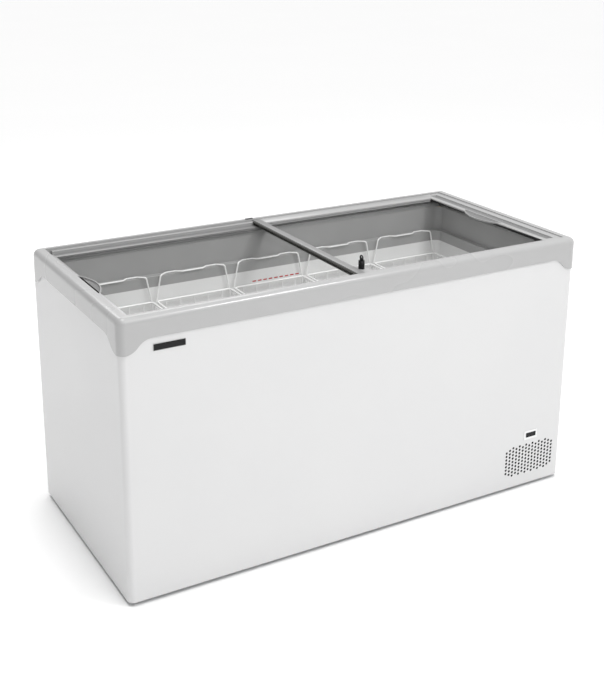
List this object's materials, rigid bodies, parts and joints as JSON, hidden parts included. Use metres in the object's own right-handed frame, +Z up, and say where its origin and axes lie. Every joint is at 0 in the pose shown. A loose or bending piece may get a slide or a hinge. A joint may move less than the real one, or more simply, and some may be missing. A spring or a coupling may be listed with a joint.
{
  "type": "chest freezer",
  "caption": "Commercial chest freezer with two flat sliding glass lids, lift-out wire baskets, a moulded top frame, a key lock and a front compressor vent.",
  "frame": {"origin": "on the floor, below the middle of the cabinet", "axes": "+X right seen from the front, +Y to the back, +Z up"},
  "size_m": [1.503, 0.7, 0.855],
  "materials": {
    "cabinet_white": "satin",
    "back_white": "satin",
    "galvanised_steel": "satin",
    "insulation": "matte",
    "liner_white": "satin",
    "collar_grey": "satin",
    "frame_grey": "satin",
    "lid_grey": "satin",
    "lid_glass": "gloss",
    "brush_black": "matte",
    "plate_black": "gloss",
    "bezel_grey": "satin",
    "display_black": "gloss",
    "black_plastic": "satin",
    "black_rubber": "matte",
    "load_red": "satin",
    "lock_black": "gloss",
    "plated_steel": "polished",
    "coated_wire": "satin",
    "pot_black": "satin",
    "aluminium": "satin",
    "copper": "satin",
    "white_plastic": "satin"
  },
  "bodies": {
    "cabinet": {"outer_wrap": "cabinet_white", "back_panel": "back_white", "base_panel": "galvanised_steel", "insulation_foam": "insulation", "inner_liner": "liner_white", "inner_collar": "collar_grey", "top_frame": "frame_grey", "lid_tracks": "frame_grey", "compressor_bay_panel": "galvanised_steel", "name_plate": "plate_black", "display_bezel": "bezel_grey", "display_window": "display_black", "controller_module": "black_plastic", "rear_lid_stop": "black_rubber", "load_line_marks": "load_red", "evaporator_coil": "aluminium", "compressor": "pot_black", "compressor_mounts": "black_rubber", "compressor_studs": "plated_steel", "start_relay": "black_plastic", "condenser_fins": "aluminium", "condenser_tube": "copper", "fan_shroud": "galvanised_steel", "fan_motor": "pot_black", "filter_drier": "copper", "refrigerant_lines": "copper", "power_cord_gland": "black_plastic", "drain_tube": "white_plastic", "back_panel_screws": "plated_steel", "front_feet": "black_plastic", "roller_brackets": "galvanised_steel", "roller_axles": "plated_steel"},
    "lower_lid": {"lower_lid_slides": "lid_grey", "lower_lid_meeting_profile": "lid_grey", "lower_lid_end_profile": "lid_grey", "lower_lid_glass": "lid_glass"},
    "upper_lid": {"upper_lid_slides": "lid_grey", "upper_lid_meeting_profile": "lid_grey", "upper_lid_end_profile": "lid_grey", "upper_lid_glass": "lid_glass", "upper_lid_brush_seal": "brush_black", "lock_bracket": "lid_grey", "lock_barrel": "lock_black"},
    "key_and_plug": {"lock_plug": "lock_black", "lock_cam": "plated_steel", "lock_key": "lock_black"},
    "basket_1_body": {"basket_1": "coated_wire", "basket_1_handles": "coated_wire"},
    "basket_2_body": {"basket_2": "coated_wire", "basket_2_handles": "coated_wire"},
    "basket_3_body": {"basket_3": "coated_wire", "basket_3_handles": "coated_wire"},
    "basket_4_body": {"basket_4": "coated_wire", "basket_4_handles": "coated_wire"},
    "basket_5_body": {"basket_5": "coated_wire", "basket_5_handles": "coated_wire"},
    "fan": {"fan_blade": "black_plastic"},
    "roller_left": {"rear_roller_left": "black_plastic"},
    "roller_right": {"rear_roller_right": "black_plastic"},
    "plug": {"drain_plug": "black_rubber"}
  },
  "joints": [
    {"name": "lower_lid_slide", "type": "slide", "parent": "cabinet", "child": "lower_lid", "axis": [1, 0, 0], "range_m": [0, 0.67]},
    {"name": "upper_lid_slide", "type": "slide", "parent": "cabinet", "child": "upper_lid", "axis": [-1, 0, 0], "range_m": [0, 0.67]},
    {"name": "key_turn", "type": "hinge", "parent": "upper_lid", "child": "key_and_plug", "pos_m": [0.006, -0.28, 0.82], "axis": [0, 0, 1], "range_deg": [0, 90]},
    {"name": "basket_1_lift", "type": "slide", "parent": "cabinet", "child": "basket_1_body", "axis": [0, 0, 1], "range_m": [0, 0.08]},
    {"name": "basket_2_lift", "type": "slide", "parent": "cabinet", "child": "basket_2_body", "axis": [0, 0, 1], "range_m": [0, 0.08]},
    {"name": "basket_3_lift", "type": "slide", "parent": "cabinet", "child": "basket_3_body", "axis": [0, 0, 1], "range_m": [0, 0.08]},
    {"name": "basket_4_lift", "type": "slide", "parent": "cabinet", "child": "basket_4_body", "axis": [0, 0, 1], "range_m": [0, 0.08]},
    {"name": "basket_5_lift", "type": "slide", "parent": "cabinet", "child": "basket_5_body", "axis": [0, 0, 1], "range_m": [0, 0.08]},
    {"name": "fan_spin", "type": "hinge", "parent": "cabinet", "child": "fan", "pos_m": [0.622, -0.2766, 0.095], "axis": [0, 1, 0], "continuous": true},
    {"name": "left_roller_spin", "type": "hinge", "parent": "cabinet", "child": "roller_left", "pos_m": [-0.64, 0.292, 0.019], "axis": [1, 0, 0], "continuous": true},
    {"name": "right_roller_spin", "type": "hinge", "parent": "cabinet", "child": "roller_right", "pos_m": [0.64, 0.292, 0.019], "axis": [1, 0, 0], "continuous": true},
    {"name": "drain_plug_pull", "type": "slide", "parent": "cabinet", "child": "plug", "axis": [0, 0, 1], "range_m": [0, 0.03]}
  ]
}
